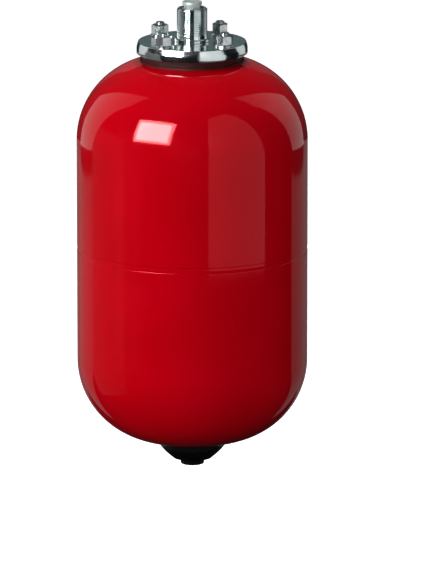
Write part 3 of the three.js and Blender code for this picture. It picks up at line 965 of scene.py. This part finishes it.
def make_lights():
    """Sheets give the reflections: a hot softbox at the upper left, a tall one at the right, one
    with a dim strip under it on each side, and soft ones behind. Panels light the paint."""
    light_sheet("key_sheet", -44, 27.5, 1.2,
                [(-0.33, -0.26), (0.48, -0.22), (0.43, 0.40), (-0.31, 0.29)], 20)
    light_sheet("key_core", -44, 27.5, 1.19,
                [(-0.27, -0.20), (0.41, -0.16), (0.36, 0.32), (-0.26, 0.23)], 55)
    tall = [(-0.475, -0.19), (-0.24, -0.17), (0.0, -0.162), (0.2, -0.168), (0.42, -0.187),
            (0.42, -0.04), (0.33, 0.34), (0.23, 0.66), (0.10, 0.90), (-0.01, 1.02),
            (-0.38, 1.04), (-0.46, 0.50)]
    light_sheet("tall_sheet", 46, 0, 0.8, tall, 0.85)
    side = [(0.10, -0.37), (0.17, -0.22), (0.24, 0.03), (0.32, 0.31), (0.45, 0.69),
            (0.41, 1.22), (0.09, 0.70), (-0.16, 0.34), (-0.30, 0.16), (-0.31, 0.02),
            (-0.42, -0.35), (-0.50, -0.40)]
    light_sheet("left_sheet", -120, 15, 1.0, side, 0.78)
    light_sheet("right_sheet", 120, 15, 1.0, [(-u, v) for u, v in side], 0.66)
    strip = [(0.12, -0.41), (-0.62, -0.44), (-0.62, -1.7), (-0.45, -1.5), (0.12, -0.65)]
    light_sheet("left_strip", -120, 15, 1.0, strip, 0.24)
    light_sheet("right_strip", 120, 15, 1.0, [(-u, v) for u, v in strip], 0.2)
    haze = [(-0.55, -0.9), (0.55, -0.9), (0.55, 0.35), (-0.55, 0.35)]
    light_sheet("left_haze", -92, 0, 1.3, haze, 0.14)
    back = [(-0.55, -0.25), (0.55, -0.25), (0.55, 0.45), (-0.55, 0.45)]
    light_sheet("back_sheet", 180, 14, 1.6, back, 0.082, (0.64, 1.0, 1.03))
    behind = [(-1.2, -0.5), (1.2, -0.5), (1.2, 0.1), (-1.2, 0.1)]
    light_sheet("low_back_sheet", 180, -12, 1.7, behind, 0.17, (1.0, 0.85, 0.88))
    panel("top", 175, 68, 1.6, 0.5, 0.5, 2.0)
    panel("key", -55, 58, 1.6, 0.8, 0.8, 1.0)
    panel("front", -8, 8, 1.8, 1.0, 0.8, 1.75)
    panel("left", -66, 2, 1.6, 0.9, 1.2, 2.6)
    panel("right_low", 112, -36, 1.6, 1.2, 1.0, 1.4)
    panel("right", 70, 12, 1.7, 0.8, 0.8, 0.7)


STUDIO_AXIS_TILT = math.radians(60)  # the studio is brightest this far up from straight behind
STUDIO_DARK = (0.006, 0.006, 0.007)
STUDIO_DIM = (0.04, 0.052, 0.055)


def make_world():
    """Studio that is dark in front and below, and dim and slightly green behind and above,
    for reflections and shade; white for the camera."""
    world = bpy.data.worlds.new("studio")
    bpy.context.scene.world = world
    world.use_nodes = True
    nodes, links = world.node_tree.nodes, world.node_tree.links
    dim = nodes["Background"]
    way = nodes.new("ShaderNodeTexCoord").outputs["Generated"]
    turned = nodes.new("ShaderNodeMapping")
    turned.inputs["Rotation"].default_value = (-STUDIO_AXIS_TILT, 0, 0)
    links.new(way, turned.inputs["Vector"])
    split = nodes.new("ShaderNodeSeparateXYZ")
    links.new(turned.outputs["Vector"], split.inputs["Vector"])
    ramp = nodes.new("ShaderNodeValToRGB")
    dark_end, dim_end = ramp.color_ramp.elements
    dark_end.position = 0.0
    dark_end.color = (*STUDIO_DARK, 1)
    dim_end.position = 0.8
    dim_end.color = (*STUDIO_DIM, 1)
    links.new(split.outputs["Y"], ramp.inputs["Fac"])
    links.new(ramp.outputs["Color"], dim.inputs["Color"])
    white = nodes.new("ShaderNodeBackground")
    white.inputs["Color"].default_value = (1, 1, 1, 1)
    mix = nodes.new("ShaderNodeMixShader")
    links.new(nodes.new("ShaderNodeLightPath").outputs["Is Camera Ray"], mix.inputs["Fac"])
    links.new(dim.outputs["Background"], mix.inputs[1])
    links.new(white.outputs["Background"], mix.inputs[2])
    links.new(mix.outputs["Shader"], nodes["World Output"].inputs["Surface"])


FLOOR_DROP = 0.06  # metres below the valve cover
FLOOR_HALF = 30.0


def make_floor():
    """Pale sheet below the vessel. Only the camera sees it, so it adds no light of its own."""
    level = low("valve_cover").z * MM - FLOOR_DROP
    half = FLOOR_HALF
    mesh = bpy.data.meshes.new("floor")
    corners = [(-half, -half, level), (half, -half, level), (half, half, level),
               (-half, half, level)]
    mesh.from_pydata(corners, [], [(0, 1, 2, 3)])
    floor = new_object("floor", mesh)
    f = Finish("pale_floor").set(Roughness=0.9)
    f.colour(f.noise(3, 2), [(0.3, (0.90, 0.90, 0.90)), (0.7, (0.93, 0.93, 0.93))])
    f.set(Emission_Color=(1, 1, 1, 1), Emission_Strength=0.9)
    floor.data.materials.append(f.material)
    floor.visible_diffuse = False
    floor.visible_glossy = False


make_camera()
make_world()
make_lights()
make_floor()
bpy.context.scene.view_settings.view_transform = "Standard"
